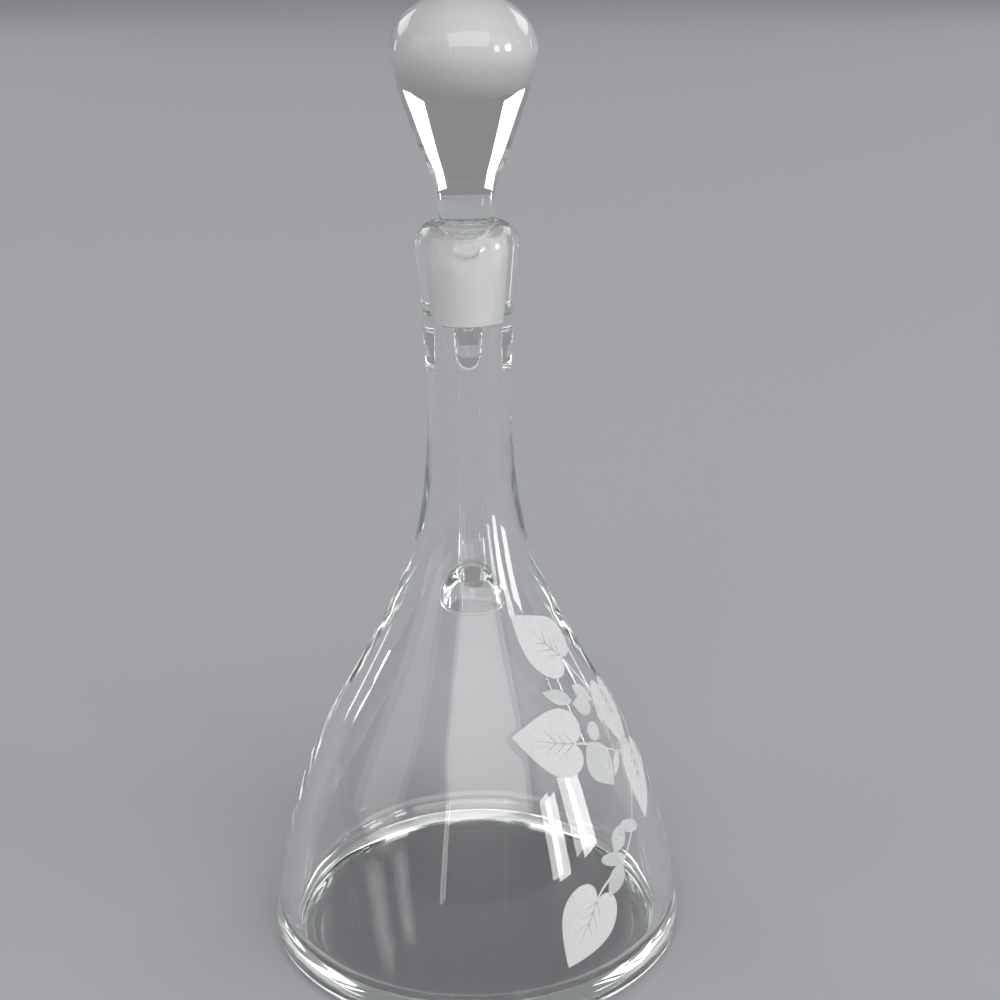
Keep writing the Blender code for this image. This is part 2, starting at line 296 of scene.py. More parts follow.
def drawn_rod(
    name: str, sections: Sequence[Callable[[float], Vector]], sides: int,
) -> bpy.types.Object:
    """Extrude a round rod of unit radius and unit steps, and draw it out through sections.

    Args:
        name: The new piece's name.
        sections: One function for each ring, which gives the place at an angle round it.
        sides: Flats round the rod.

    Returns:
        The closed rod, its faces outward.
    """
    item = started(
        name, bpy.ops.mesh.primitive_circle_add, vertices=sides, radius=1, fill_type="NGON",
    )
    for _ in sections[1:]:
        bpy.ops.mesh.extrude_region_move(TRANSFORM_OT_translate={"value": (0, 0, 1)})
    bpy.ops.object.mode_set(mode="OBJECT")
    for vertex in item.data.vertices:
        angle = math.atan2(vertex.co.y, vertex.co.x)
        vertex.co = sections[round(vertex.co.z)](angle)
    into_edit_mode()
    closed_and_outward()
    return item


def applied(item: bpy.types.Object, kind: str, **settings: object) -> None:
    """Add a modifier to a piece and apply it.

    Args:
        item: The piece.
        kind: The modifier's type.
        settings: The modifier's settings by name.
    """
    alone(item)
    modifier = item.modifiers.new(kind.lower(), kind)
    for key, value in settings.items():
        setattr(modifier, key, value)
    bpy.ops.object.modifier_apply(modifier=modifier.name)


def joined(first: bpy.types.Object, others: Sequence[bpy.types.Object]) -> bpy.types.Object:
    """Join pieces into the first one, which keeps its name.

    Args:
        first: The piece that the others join.
        others: The pieces that go into it.

    Returns:
        The joined piece.
    """
    bpy.ops.object.select_all(action="DESELECT")
    for item in [first, *others]:
        item.select_set(True)
    bpy.context.view_layer.objects.active = first
    bpy.ops.object.join()
    return first


def shaded_smooth(item: bpy.types.Object, angle: float) -> None:
    """Shade a piece smooth, with an edge wherever its faces turn by more than an angle.

    Args:
        item: The piece.
        angle: The angle in degrees.
    """
    alone(item)
    bpy.ops.object.shade_smooth_by_angle(angle=math.radians(angle))


def dressed(
    item: bpy.types.Object,
    glass: bpy.types.Material,
    ground: bpy.types.Material,
    is_ground: Callable[[Vector], bool],
) -> None:
    """Give a piece its clear finish, and the ground one to some of its faces.

    Args:
        item: The piece.
        glass: Its clear finish.
        ground: Its ground finish.
        is_ground: Tells by a face's middle whether the face is ground.
    """
    item.data.materials.append(glass)
    item.data.materials.append(ground)
    for face in item.data.polygons:
        if is_ground(face.center):
            face.material_index = 1


# Shader maths

class Signal:
    """A value in a material that takes part in Python sums."""

    def __init__(self, bench: "NodeBench", socket: bpy.types.NodeSocket) -> None:
        """Keep the material's bench and the output socket that carries the value."""
        self.bench = bench
        self.socket = socket

    def maths(self, operation: str, *values: "Signal | float", clamp: bool = False) -> "Signal":
        """Add a Math node.

        Args:
            operation: The node's operation.
            values: Its inputs in order.
            clamp: Whether the result is held between 0 and 1.

        Returns:
            The node's result.
        """
        settings = {"operation": operation, "use_clamp": clamp}
        return self.bench.node("ShaderNodeMath", settings, dict(enumerate(values)))

    def __add__(self, other: "Signal | float") -> "Signal":
        """Return the sum."""
        return self.maths("ADD", self, other)

    __radd__ = __add__

    def __sub__(self, other: "Signal | float") -> "Signal":
        """Return the difference."""
        return self.maths("SUBTRACT", self, other)

    def __rsub__(self, other: "Signal | float") -> "Signal":
        """Return a number less this value."""
        return self.maths("SUBTRACT", other, self)

    def __mul__(self, other: "Signal | float") -> "Signal":
        """Return the product."""
        return self.maths("MULTIPLY", self, other)

    __rmul__ = __mul__

    def held(self) -> "Signal":
        """Return the value held between 0 and 1."""
        return self.maths("ADD", self, 0.0, clamp=True)


class NodeBench:
    """A node tree to which nodes are added one by one."""

    def __init__(self, tree: bpy.types.NodeTree) -> None:
        """Keep the tree."""
        self.tree = tree

    def feed(self, socket: bpy.types.NodeSocket, value: object) -> None:
        """Link or set one input.

        Args:
            socket: The input.
            value: A signal to link to it, or its plain value.
        """
        if isinstance(value, Signal):
            self.tree.links.new(value.socket, socket)
        else:
            socket.default_value = value

    def node(
        self,
        kind: str,
        settings: Mapping[str, object] | None = None,
        inputs: Mapping[int | str, object] | None = None,
        output: int | str = 0,
    ) -> Signal:
        """Add a node.

        Args:
            kind: The node's type.
            settings: Its settings by name, made before its inputs.
            inputs: Values or links by the socket's name or number.
            output: The output to return.

        Returns:
            The chosen output.
        """
        made = self.tree.nodes.new(kind)
        for key, value in (settings or {}).items():
            setattr(made, key, value)
        for key, value in (inputs or {}).items():
            self.feed(made.inputs[key], value)
        return Signal(self, made.outputs[output])

    def blended(self, share: Signal, first: Colour, second: Colour) -> Signal:
        """Return the colour that lies between two by a share."""
        inputs = {"Factor": share, MIX_FIRST: (*first, 1), MIX_SECOND: (*second, 1)}
        return self.node("ShaderNodeMix", {"data_type": "RGBA"}, inputs, MIX_RESULT)


class Shader(NodeBench):
    """A material's node tree with its Principled shader, built step by step."""

    def __init__(self, name: str) -> None:
        """Start a material.

        Args:
            name: The material's name.
        """
        self.material = bpy.data.materials.new(name)
        self.material.use_nodes = True
        super().__init__(self.material.node_tree)
        self.principled = self.tree.nodes["Principled BSDF"]

    def finish(self, **values: object) -> bpy.types.Material:
        """Set the Principled shader's sockets and return the material.

        Args:
            values: A value or a link for each socket, its name written with underscores.

        Returns:
            The finished material.
        """
        for key, value in values.items():
            self.feed(self.principled.inputs[key.replace("_", " ")], value)
        return self.material

    def absorb(self, colour: Colour, density: float) -> None:
        """Tint the inside of the glass.

        Args:
            colour: The colour that passes best.
            density: How strongly the rest is taken away, per metre.
        """
        absorption = self.node(
            "ShaderNodeVolumeAbsorption", None, {"Color": (*colour, 1), "Density": density},
        )
        target = next(node for node in self.tree.nodes if node.type == "OUTPUT_MATERIAL")
        self.feed(target.inputs["Volume"], absorption)

    def places(self) -> Signal:
        """Return the Object coordinates of the surface."""
        return self.node("ShaderNodeTexCoord", output="Object")

    def noise(self, places: Signal, scale: float, detail: float) -> Signal:
        """Return a noise that is read at places."""
        inputs = {"Vector": places, "Scale": scale, "Detail": detail}
        return self.node("ShaderNodeTexNoise", None, inputs)

    def bump(self, height: Signal, strength: float, distance: float) -> Signal:
        """Return the normal of a surface that rises by a height."""
        inputs = {"Height": height, "Strength": strength, "Distance": distance}
        return self.node("ShaderNodeBump", None, inputs, "Normal")


@dataclass(frozen=True)
class BlownGlass:
    """Clear glass with the faint green of its iron and the slow waves of its blowing."""

    name: str = "clear_glass"
    roughness: float = 0.0
    refraction: float = 1.5
    colour: Colour = (0.86, 0.94, 0.84)
    density: float = 2.4
    wave_scale: float = 22.0
    wave_detail: float = 1.5
    wave_height: float = 0.00025

    def material(self) -> bpy.types.Material:
        """Build the material.

        Returns:
            The clear glass.
        """
        shader = Shader(self.name)
        shader.absorb(self.colour, self.density)
        waves = shader.noise(shader.places(), self.wave_scale, self.wave_detail)
        return shader.finish(
            Base_Color=(1, 1, 1, 1),
            Roughness=self.roughness,
            IOR=self.refraction,
            Transmission_Weight=1.0,
            Normal=shader.bump(waves, 1.0, self.wave_height),
        )


@dataclass(frozen=True)
class GroundGlass:
    """Glass ground with grit, as on the stopper's plug and in its socket."""

    name: str = "ground_glass"
    colour: Colour = (0.94, 0.95, 0.94)
    worn_colour: Colour = (0.99, 0.99, 0.98)
    transmission: float = 0.14
    refraction: float = 1.5
    roughness: float = 0.45
    roughness_spread: float = 0.25
    grain_scale: float = 900.0
    grain_detail: float = 4.0
    turn_scale: float = 1500.0
    turn_stretch: Triple = (0.08, 0.08, 1.0)
    turn_detail: float = 3.0
    relief: float = 0.35
    relief_depth: float = 0.00005

    def material(self) -> bpy.types.Material:
        """Build the material.

        Returns:
            The ground glass, with its grain and the fine turns of its grinding.
        """
        shader = Shader(self.name)
        places = shader.places()
        stretched = shader.node(
            "ShaderNodeMapping", None, {"Vector": places, "Scale": self.turn_stretch},
        )
        turns = shader.noise(stretched, self.turn_scale, self.turn_detail)
        grain = shader.noise(places, self.grain_scale, self.grain_detail)
        worn = (turns * 0.5 + grain * 0.5).held()
        return shader.finish(
            Base_Color=shader.blended(worn, self.colour, self.worn_colour),
            Roughness=self.roughness + (worn - 0.5) * self.roughness_spread,
            IOR=self.refraction,
            Transmission_Weight=self.transmission,
            Normal=shader.bump(worn, self.relief, self.relief_depth),
        )


@dataclass(frozen=True)
class EtchedFrost:
    """The matt white of an etched pattern, with its fine grain."""

    name: str = "etched_frost"
    colour: Colour = (0.92, 0.93, 0.93)
    cover: float = 0.80
    depth: float = 0.0006
    roughness: float = 0.6
    grain_spread: float = 0.32
    grain_scale: float = 1400.0
    grain_detail: float = 3.0
    cloud_spread: float = 0.16
    cloud_scale: float = 180.0
    cloud_detail: float = 2.0

    def material(self) -> bpy.types.Material:
        """Build the material.

        Returns:
            The frost, with light inside it, and a little of the glass behind seen through.
        """
        shader = Shader(self.name)
        places = shader.places()
        grain = shader.noise(places, self.grain_scale, self.grain_detail)
        cloud = shader.noise(places, self.cloud_scale, self.cloud_detail)
        spread = (grain - 0.5) * self.grain_spread + (cloud - 0.5) * self.cloud_spread
        return shader.finish(
            Base_Color=(*self.colour, 1),
            Roughness=self.roughness,
            Subsurface_Weight=1.0,
            Subsurface_Radius=(1.0, 1.0, 1.0),
            Subsurface_Scale=self.depth,
            Alpha=(self.cover + spread).held(),
        )


# Vessel

@dataclass
class Vessel:
    """The blown body and neck, its ground socket and its pouring lip."""

    base_radius: float = 0.0723
    heel_rounding: float = 0.0030
    waist_height: float = 0.196
    waist_radius: float = 0.0138
    body_shares: tuple[Point, ...] = (
        (0.05, 0.984), (0.10, 0.958), (0.20, 0.886), (0.30, 0.777), (0.40, 0.631), (0.50, 0.443),
        (0.60, 0.265), (0.70, 0.127), (0.80, 0.044), (0.90, 0.008), (1.00, 0.000),
    )
    foot_radius: float = 0.0520
    foot_rise: float = 0.0008
    neck_length: float = 0.0540
    rim_radius: float = 0.0164
    rim_crown_radius: float = 0.0109
    rim_rounding_height: float = 0.0070
    neck_shares: tuple[Point, ...] = (
        (0.30, 0.15), (0.52, 0.35), (0.74, 0.68), (0.91, 0.92), (1.00, 1.00),
    )
    body_wall: float = 0.0075
    bore_radius: float = 0.0072
    wall_blend_share: float = 0.33
    floor_thickness: float = 0.0035
    floor_corner: Point = (0.0100, 0.0080)
    mouth_depth: float = 0.0057
    mouth_radius: float = 0.0096
    mouth_chamfer: float = 0.0006
    socket_length: float = 0.0260
    socket_top_radius: float = 0.0090
    socket_bottom_radius: float = 0.0075
    lip_reach: float = 0.0038
    lip_drop: float = 0.0033
    lip_height: float = 0.0150
    lip_flat_half_width: float = 0.0014
    lip_half_width: float = 0.0098
    nose_half_width: float = 0.0039
    nose_half_height: float = 0.0024
    nose_depth: float = 0.0061
    nose_stand: float = 0.0024
    nose_margin_share: float = 1.3
    nose_cuts: int = 3
    steps: int = 128
    spacing: float = 0.0016
    side_samples: int = 12
    rim_samples: int = 10
    edge_samples: int = 8
    corner_samples: int = 12
    side: Line = field(init=False)

    def __post_init__(self) -> None:
        """Draw the outer side once, because the handle and the vine lie on it too."""
        heel = (self.base_radius, self.foot_rise + self.heel_rounding)
        waist = (self.waist_radius, self.waist_height)
        shoulder = (self.rim_radius, self.rim - self.rim_rounding_height)
        below_waist, widest = (self.waist_radius, 0), (self.base_radius, self.waist_height)
        body = between(below_waist, widest, self.body_shares)
        neck = between(waist, shoulder, self.neck_shares)
        stations = [heel, *body, *neck]
        self.side = smooth_line(stations, self.side_samples)

    @property
    def rim(self) -> float:
        """Return the height of the rim's crown."""
        return self.waist_height + self.neck_length

    @property
    def socket_top(self) -> float:
        """Return the height of the ground socket's upper end."""
        return self.rim - self.mouth_depth

    @property
    def socket_foot(self) -> float:
        """Return the height of the ground socket's lower end."""
        return self.socket_top - self.socket_length

    def radius(self, height: float) -> float:
        """Return the radius of the outer side at a height."""
        return radius_on(self.side, height)

    def outward(self, height: float) -> Vector:
        """Find the outer side's normal.

        Args:
            height: The height to find it at.

        Returns:
            The normal as radius and height.
        """
        step = self.heel_rounding / 2
        slope = (self.radius(height + step) - self.radius(height - step)) / (2 * step)
        return Vector((1, -slope)).normalized()

    def wall(self, point: Point) -> float:
        """Find the wall's thickness, which grows from the neck to the body.

        Args:
            point: A point of the outer side.

        Returns:
            The thickness there.
        """
        neck_wall = self.waist_radius - self.bore_radius
        spread = (self.base_radius - self.waist_radius) * self.wall_blend_share
        share = min(max((point[0] - self.waist_radius) / spread, 0), 1)
        return neck_wall + (self.body_wall - neck_wall) * share

    def outer_outline(self) -> Line:
        """Draw the outside.

        Returns:
            Its points, from the rim's crown down to the middle of the foot.
        """
        rim = arc(
            (self.rim_crown_radius, self.rim - self.rim_rounding_height),
            (self.rim_radius - self.rim_crown_radius, self.rim_rounding_height),
            90, 0, self.rim_samples,
        )
        heel = arc(
            (self.base_radius - self.heel_rounding, self.foot_rise + self.heel_rounding),
            (self.heel_rounding, self.heel_rounding),
            0, -90, self.edge_samples,
        )
        foot = [(self.foot_radius, 0), (0, 0)]
        return rim + self.side[-2::-1] + heel[1:] + foot

    def inner_outline(self) -> Line:
        """Draw the inside.

        Returns:
            Its points, from the middle of the floor up to the rim's crown.
        """
        wall = [point for point in self.side if point[1] < self.waist_height]
        wall = moved_inward(wall, self.wall)
        width, height = self.floor_corner
        corner_top = self.floor_thickness + height
        corner_radius = radius_on(wall, corner_top)
        wall = [point for point in wall if corner_top < point[1] < self.waist_height]
        corner_middle = (corner_radius - width, corner_top)
        corner = arc(corner_middle, (width, height), -90, 0, self.corner_samples)
        mouth_foot = self.socket_top + self.mouth_chamfer
        mouth = arc(
            (self.rim_crown_radius, mouth_foot),
            (self.rim_crown_radius - self.mouth_radius, self.rim - mouth_foot),
            180, 90, self.edge_samples,
        )
        neck = [
            (self.bore_radius, self.waist_height),
            (self.bore_radius, self.socket_foot - (self.socket_bottom_radius - self.bore_radius)),
            (self.socket_bottom_radius, self.socket_foot),
            (self.socket_top_radius, self.socket_top),
        ]
        return [(0, self.floor_thickness)] + corner + wall + neck + mouth

    def pull_lip(self, item: bpy.types.Object) -> None:
        """Draw the front of the rim forward and down, as the hot glass is for pouring.

        Args:
            item: The vessel.
        """
        for vertex in item.data.vertices:
            place = vertex.co
            inside = math.hypot(place.x, place.y) < self.rim_crown_radius
            root = self.socket_top + self.mouth_chamfer if inside else self.rim - self.lip_height
            if place.y >= 0 or place.z <= root:
                continue
            up = ease((place.z - root) / (self.rim - root))
            side = self.lip_half_width - self.lip_flat_half_width
            weight = up * ease((self.lip_half_width - abs(place.x)) / side)
            place.y -= self.lip_reach * weight
            place.z -= self.lip_drop * weight
            if not inside:
                wide = place.x / self.nose_half_width
                high = (place.z - (self.rim - self.nose_depth)) / self.nose_half_height
                place.y -= self.nose_stand * math.sqrt(max(1 - wide ** 2 - high ** 2, 0))

    def refine_lip(self, item: bpy.types.Object) -> None:
        """Cut the faces of the lip's front finer, so that its small nose comes out round.

        Args:
            item: The vessel.
        """
        alone(item)
        into_edit_mode()
        bpy.ops.mesh.select_mode(type="FACE")
        bpy.ops.mesh.select_all(action="DESELECT")
        bpy.ops.object.mode_set(mode="OBJECT")
        low = self.rim - self.nose_depth - 2 * self.nose_half_height
        for face in item.data.polygons:
            middle = face.center
            near = abs(middle.x) < self.nose_half_width * self.nose_margin_share
            face.select = near and middle.y < -self.waist_radius and low < middle.z < self.rim
        bpy.ops.object.mode_set(mode="EDIT")
        bpy.ops.mesh.subdivide(number_cuts=self.nose_cuts)
        bpy.ops.mesh.select_mode(type="VERT")
        bpy.ops.object.mode_set(mode="OBJECT")

    def in_socket(self, middle: Vector) -> bool:
        """Tell whether a face lies in the ground socket, by the face's middle."""
        reach = math.hypot(middle.x, middle.y)
        return self.socket_foot < middle.z < self.socket_top and reach < self.rim_crown_radius

    def build(self, glass: bpy.types.Material, ground: bpy.types.Material) -> bpy.types.Object:
        """Build the vessel.

        Args:
            glass: Its clear finish.
            ground: The finish of its socket.

        Returns:
            The vessel without its handle.
        """
        outline = filled_in(self.inner_outline()[:-1] + self.outer_outline(), self.spacing)
        item = turned_skin("vessel_glass", outline, self.steps)
        self.refine_lip(item)
        self.pull_lip(item)
        dressed(item, glass, ground, self.in_socket)
        return item


@dataclass(frozen=True)
class Station:
    """One section of the handle, and how it lies on the vessel.

    Its bend is the share by which it follows the vessel's radius, and it stands square to the
    direction that it faces, or else to the handle's own run.
    """

    middle: Vector
    half_width: float
    half_thickness: float
    radius: float
    bend: float
    facing: Vector | None = None


@dataclass
class Handle:
    """The handle: a round pad, a flattened rod and a tongue pressed down the neck's back.

    Its shares give the rod's points in order, each with its reach out from the neck, its height,
    how much of the root's thickness it keeps, and its bend round the neck.
    """

    vessel: Vessel
    pad_height_share: float = 0.588
    pad_half_width: float = 0.0160
    pad_half_height: float = 0.0145
    pad_thickness: float = 0.0060
    pad_sink: float = 0.0040
    pad_edge: float = 0.0012
    pad_flare: float = 1.02
    root_half_width: float = 0.0080
    root_half_thickness: float = 0.0066
    root_length: float = 0.0014
    root_lift: float = 0.0036
    root_slope: float = 42.0
    rod_half_width: float = 0.0094
    rod_half_thickness: float = 0.0050
    bow: float = 0.0115
    loop_rise: float = 0.0250
    tongue_rise: float = 0.0120
    tongue_half_width: float = 0.0080
    tongue_thickness: float = 0.0034
    tongue_stand: float = 0.0006
    shares: tuple[tuple[float, float, float, float], ...] = (
        (0.935, 0.116, 0.66, 0.00), (0.987, 0.157, 0.42, 0.00), (0.998, 0.205, 0.24, 0.00),
        (0.948, 0.300, 0.12, 0.00), (0.865, 0.442, 0.04, 0.00), (0.761, 0.612, 0.00, 0.00),
        (0.651, 0.754, 0.00, 0.00), (0.526, 0.863, 0.00, 0.00), (0.367, 0.943, 0.00, 0.08),
        (0.208, 0.973, 0.02, 0.35), (0.090, 0.953, 0.02, 0.75),
    )
    sides: int = 56
    samples: int = 7
    tip_angle: float = 84.0
    arc_samples: int = 12

    @property
    def pad_height(self) -> float:
        """Return the height of the pad's middle."""
        return self.vessel.waist_height * self.pad_height_share

    @property
    def tongue_height(self) -> float:
        """Return the height at which the tongue has its full width."""
        return self.vessel.waist_height + self.tongue_rise

    @property
    def seat(self) -> Vector:
        """Return the place on the shoulder on which the pad's middle lies."""
        return Vector((0, self.vessel.radius(self.pad_height), self.pad_height))

    @property
    def outward(self) -> Vector:
        """Return the direction in which the pad stands off the shoulder."""
        normal = self.vessel.outward(self.pad_height)
        return Vector((0, normal.x, normal.y))

    @property
    def root_way(self) -> Vector:
        """Return the direction in which the rod leaves the pad."""
        slope = math.radians(self.root_slope)
        return Vector((0, math.cos(slope), math.sin(slope)))

    @property
    def root(self) -> Vector:
        """Return the middle of the rod's root, a little uphill of the pad's middle.

        Returns:
            The place in the frame.
        """
        uphill = Vector((0, -self.outward.z, self.outward.y))
        rise = self.pad_thickness + self.root_length
        return self.seat + self.outward * rise + uphill * self.root_lift

    def pad_stations(self) -> list[Station]:
        """Shape the pad, a low drum that flares into the rod.

        Returns:
            Its stations, from inside the vessel's wall to the rod's root.
        """
        shoulder = self.vessel.radius(self.pad_height)
        stations = [Station(
            self.seat - self.outward * self.pad_sink,
            self.pad_half_width, self.pad_half_height, shoulder, 1, self.outward,
        )]
        for step in range(1, self.arc_samples):
            angle = math.radians(90 * step / self.arc_samples)
            inset = self.pad_edge * (1 - math.cos(angle))
            stations.append(Station(
                self.seat + self.outward * self.pad_edge * math.sin(angle),
                self.pad_half_width - inset, self.pad_half_height - inset,
                shoulder, 1, self.outward,
            ))
        edge = self.seat + self.outward * self.pad_edge
        wide = self.pad_half_width - self.pad_edge - self.root_half_width
        thick = self.pad_half_height - self.pad_edge - self.root_half_thickness
        for step in range(self.arc_samples):
            share = step / self.arc_samples
            spread = (1 - share) ** self.pad_flare
            stations.append(Station(
                edge.lerp(self.root, share),
                self.root_half_width + wide * spread,
                self.root_half_thickness + thick * spread,
                shoulder,
                1 - share,
                self.outward.lerp(self.root_way, share).normalized(),
            ))
        return stations

    def rod_stations(self) -> list[Station]:
        """Shape the rod, which bows out and comes back to the neck.

        Returns:
            Its stations, from its root to the full width of the tongue.
        """
        waist = self.vessel.waist_radius
        shoulder = self.vessel.radius(self.pad_height)
        stations = [(
            self.root.y, self.root.z, self.root_half_width, self.root_half_thickness, 0,
        )]
        loop_top = self.vessel.waist_height + self.loop_rise
        for reach, height, swelling, bend in self.shares:
            wide = self.root_half_width - self.rod_half_width
            thick = self.root_half_thickness - self.rod_half_thickness
            stations.append((
                waist + (shoulder + self.bow - waist) * reach,
                self.pad_height + (loop_top - self.pad_height) * height,
                self.rod_half_width + wide * swelling,
                self.rod_half_thickness + thick * swelling,
                bend,
            ))
        neck = self.vessel.radius(self.tongue_height)
        stations.append((
            neck + self.tongue_stand,
            self.tongue_height,
            self.tongue_half_width,
            self.tongue_thickness,
            1,
        ))
        return [
            Station(Vector((0, reach, height)), wide, thick, neck, bend)
            for reach, height, wide, thick, bend in smooth_line(stations, self.samples)
        ]

    def tip_stations(self) -> list[Station]:
        """Round off the tongue's end, down the neck's back.

        Returns:
            Its stations, which grow smaller towards the end.
        """
        stations = []
        for step in range(1, self.arc_samples + 1):
            angle = math.radians(self.tip_angle * step / self.arc_samples)
            height = self.tongue_height - self.tongue_half_width * math.sin(angle)
            radius = self.vessel.radius(height)
            stations.append(Station(
                Vector((0, radius + self.tongue_stand * math.cos(angle), height)),
                self.tongue_half_width * math.cos(angle),
                self.tongue_thickness * math.cos(angle),
                radius,
                1,
            ))
        return stations

    @staticmethod
    def section(station: Station, run: Vector) -> Callable[[float], Vector]:
        """Bend one section round the vessel where it lies on it.

        Args:
            station: The section.
            run: The handle's own run there.

        Returns:
            A function that gives the place at an angle round the section.
        """
        along = station.facing or run
        across = Vector((0, -along.z, along.y)).normalized()
        radius = station.radius

        def place(angle: float) -> Vector:
            """Work out one place.

            Args:
                angle: The angle round the section.

            Returns:
                The place in the frame.
            """
            spot = station.middle + across * station.half_thickness * math.sin(angle)
            spot.x = station.half_width * math.cos(angle)
            spot.y -= (radius - math.sqrt(max(radius ** 2 - spot.x ** 2, 0))) * station.bend
            return spot

        return place

    def build(self) -> bpy.types.Object:
        """Build the handle.

        Returns:
            One closed rod that reaches into the vessel's wall.
        """
        stations = self.pad_stations() + self.rod_stations() + self.tip_stations()
        sections = [
            self.section(station, ahead.middle - behind.middle)
            for behind, station, ahead in neighbours(stations)
        ]
        return drawn_rod("handle_glass", sections, self.sides)


@dataclass
class FusedGlass:
    """The vessel and its handle as the one piece of glass that they melted into."""

    vessel: Vessel
    handle: Handle

    def build(self, glass: bpy.types.Material, ground: bpy.types.Material) -> bpy.types.Object:
        """Build the two, melt them together and set the result in the frame.

        Args:
            glass: The clear finish.
            ground: The finish of the socket.

        Returns:
            The fused piece.
        """
        item = self.vessel.build(glass, ground)
        rod = self.handle.build()
        rod.data.materials.append(glass)
        applied(item, "BOOLEAN", operation="UNION", solver="EXACT", object=rod)
        bpy.data.objects.remove(rod, do_unlink=True)
        shaded_smooth(item, GLASS_SMOOTH_ANGLE)
        applied(item, "WEIGHTED_NORMAL", keep_sharp=True)
        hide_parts("vessel", "handle")
        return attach(item, "decanter")


@dataclass
class Stopper:
    """The stopper: a hollow pear-shaped knob, a short neck with a ring, and a ground plug."""

    vessel: Vessel
    knob_rise: float = 0.0700
    knob_radius: float = 0.0229
    knob_dome_height: float = 0.0175
    knob_foot_rise: float = 0.0048
    neck_radius: float = 0.0088
    ring_radius: float = 0.0092
    ring_height: float = 0.0022
    ring_depth: float = 0.0026
    plug_corner: float = 0.0015
    ground_gap: float = 0.0003
    knob_shares: tuple[Point, ...] = (
        (0.10, 0.03), (0.20, 0.14), (0.36, 0.36), (0.56, 0.61), (0.75, 0.82), (0.90, 0.94),
    )
    hollow_rise: float = 0.0525
    hollow_radius: float = 0.0185
    hollow_up: float = 0.0125
    hollow_down: float = 0.0130
    steps: int = 128
    spacing: float = 0.0012
    side_samples: int = 8
    dome_samples: int = 28
    ring_samples: int = 8
    corner_samples: int = 6
    hollow_samples: int = 24

    def knob_side(self) -> Line:
        """Draw the knob's side.

        Returns:
            Its points, from the neck up to the knob's widest ring.
        """
        foot = (self.neck_radius, self.vessel.rim + self.knob_foot_rise)
        widest = (self.knob_radius, self.vessel.rim + self.knob_rise - self.knob_dome_height)
        stations = [foot, *between(foot, widest, self.knob_shares), widest]
        return smooth_line(stations, self.side_samples)

    def outline(self) -> Line:
        """Draw the outside.

        Returns:
            Its points, from the knob's top down to the middle of the plug's end.
        """
        vessel = self.vessel
        top_radius = vessel.socket_top_radius - self.ground_gap
        bottom_radius = vessel.socket_bottom_radius - self.ground_gap
        top = vessel.rim + self.knob_rise
        dome = arc(
            (0, top - self.knob_dome_height),
            (self.knob_radius, self.knob_dome_height),
            90, 0, self.dome_samples,
        )
        dome[0] = (0, top)
        ring = arc(
            (self.neck_radius, vessel.rim - self.ring_depth),
            (self.ring_radius - self.neck_radius, self.ring_height / 2),
            90, -90, self.ring_samples,
        )
        corner = arc(
            (bottom_radius - self.plug_corner, vessel.socket_foot + self.plug_corner),
            (self.plug_corner, self.plug_corner),
            0, -90, self.corner_samples,
        )
        side = self.knob_side()[-2::-1]
        plug = [(top_radius, vessel.socket_top), *corner, (0, vessel.socket_foot)]
        return dome + side + ring + plug

    def hollow_outline(self) -> Line:
        """Draw the air space inside the knob, a roof and a floor that are both round.

        Returns:
            Its points, from the top to the bottom.
        """
        middle = self.vessel.rim + self.hollow_rise
        samples = self.hollow_samples
        roof = arc((0, middle), (self.hollow_radius, self.hollow_up), 90, 0, samples)
        floor = arc((0, middle), (self.hollow_radius, self.hollow_down), 0, -90, samples)
        roof[0] = (0, middle + self.hollow_up)
        floor[-1] = (0, middle - self.hollow_down)
        return roof + floor[1:]

    def build(self, glass: bpy.types.Material, ground: bpy.types.Material) -> bpy.types.Object:
        """Build the stopper and set it in the frame.

        Args:
            glass: The finish of the knob and the neck.
            ground: The finish of the plug.

        Returns:
            The stopper.
        """
        outline = filled_in(self.hollow_outline(), self.spacing)
        hollow = turned_skin("stopper_hollow", outline, self.steps)
        turned_over()
        outline = filled_in(self.outline(), self.spacing)
        item = turned_skin("stopper_glass", outline, self.steps)
        dressed(item, glass, ground, lambda middle: middle.z < self.vessel.socket_top)
        joined(item, [hollow])
        shaded_smooth(item, GLASS_SMOOTH_ANGLE)
        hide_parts("stopper")
        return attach(item, "stopper")


# Vine

class LeafShape(Enum):
    """The outlines that the vine is drawn with, as shares of a leaf's length and half width."""

    HEART = (
        (0.00, 0.00), (-0.11, 0.20), (-0.14, 0.48), (-0.07, 0.76), (0.08, 0.95), (0.26, 1.00),
        (0.44, 0.90), (0.62, 0.68), (0.78, 0.42), (0.90, 0.20), (1.00, 0.00),
    )
    BLADE = (
        (0.00, 0.00), (0.08, 0.38), (0.24, 0.80), (0.42, 1.00), (0.60, 0.92), (0.78, 0.58),
        (0.90, 0.26), (1.00, 0.00),
    )
    BERRY = (
        (0.00, 0.00), (0.05, 0.42), (0.18, 0.78), (0.36, 0.97), (0.50, 1.00), (0.64, 0.97),
        (0.82, 0.78), (0.95, 0.42), (1.00, 0.00),
    )


@dataclass(frozen=True)
class Leaf:
    """One leaf or berry of the vine, from where it is held to its tip."""

    name: str
    shape: LeafShape
    stem: Point
    tip: Point
    half_width: float
    strong: bool = True
    veins: bool = False


